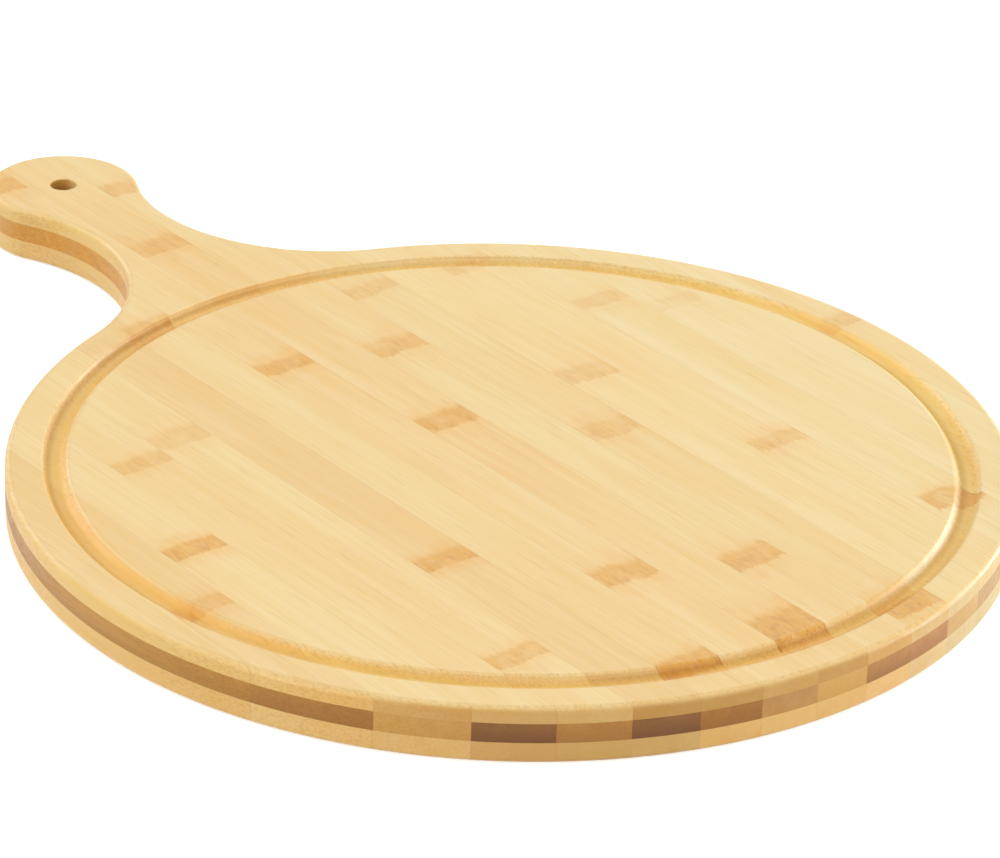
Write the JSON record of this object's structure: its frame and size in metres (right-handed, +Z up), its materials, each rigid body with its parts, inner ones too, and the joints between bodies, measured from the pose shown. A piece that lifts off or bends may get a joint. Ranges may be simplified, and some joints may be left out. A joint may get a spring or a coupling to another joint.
{
  "type": "pizza serving board",
  "caption": "Round laminated bamboo serving board with a juice groove, softened edges and a long waisted handle with a hanging hole.",
  "frame": {"origin": "middle of the round face, on the underside of the board", "axes": "+Y from the middle of the round face towards the handle's hanging hole, +Z up out of the serving face"},
  "size_m": [0.35, 0.4795, 0.0205],
  "materials": {
    "pale_bamboo": "sanded and lightly oiled pale strip bamboo, satin",
    "tan_bamboo": "sanded tan strip bamboo, satin",
    "brown_bamboo": "sanded steamed strip bamboo, satin",
    "dark_bamboo": "sanded dark steamed strip bamboo, satin"
  },
  "bodies": {
    "root": {"top_strip_left_8": "pale_bamboo", "top_strip_left_7": "pale_bamboo", "top_strip_left_6": "pale_bamboo", "top_strip_left_5": "pale_bamboo", "top_strip_left_4": "pale_bamboo", "top_strip_left_3": "pale_bamboo", "top_strip_left_2": "pale_bamboo", "top_strip_left_1": "pale_bamboo", "top_strip_mid": "pale_bamboo", "top_strip_right_1": "pale_bamboo", "top_strip_right_2": "pale_bamboo", "top_strip_right_3": "pale_bamboo", "top_strip_right_4": "pale_bamboo", "top_strip_right_5": "pale_bamboo", "top_strip_right_6": "pale_bamboo", "top_strip_right_7": "pale_bamboo", "top_strip_right_8": "pale_bamboo", "core_strip_left_8": "brown_bamboo", "core_strip_left_7": "dark_bamboo", "core_strip_left_6": "tan_bamboo", "core_strip_left_5": "dark_bamboo", "core_strip_left_4": "tan_bamboo", "core_strip_left_3": "dark_bamboo", "core_strip_left_2": "brown_bamboo", "core_strip_left_1": "brown_bamboo", "core_strip_mid": "tan_bamboo", "core_strip_right_1": "brown_bamboo", "core_strip_right_2": "brown_bamboo", "core_strip_right_3": "tan_bamboo", "core_strip_right_4": "brown_bamboo", "core_strip_right_5": "brown_bamboo", "core_strip_right_6": "dark_bamboo", "core_strip_right_7": "brown_bamboo", "core_strip_right_8": "dark_bamboo", "base_strip_left_8": "pale_bamboo", "base_strip_left_7": "pale_bamboo", "base_strip_left_6": "pale_bamboo", "base_strip_left_5": "pale_bamboo", "base_strip_left_4": "pale_bamboo", "base_strip_left_3": "pale_bamboo", "base_strip_left_2": "pale_bamboo", "base_strip_left_1": "pale_bamboo", "base_strip_mid": "pale_bamboo", "base_strip_right_1": "pale_bamboo", "base_strip_right_2": "pale_bamboo", "base_strip_right_3": "pale_bamboo", "base_strip_right_4": "pale_bamboo", "base_strip_right_5": "pale_bamboo", "base_strip_right_6": "pale_bamboo", "base_strip_right_7": "pale_bamboo", "base_strip_right_8": "pale_bamboo"}
  },
  "joints": []
}
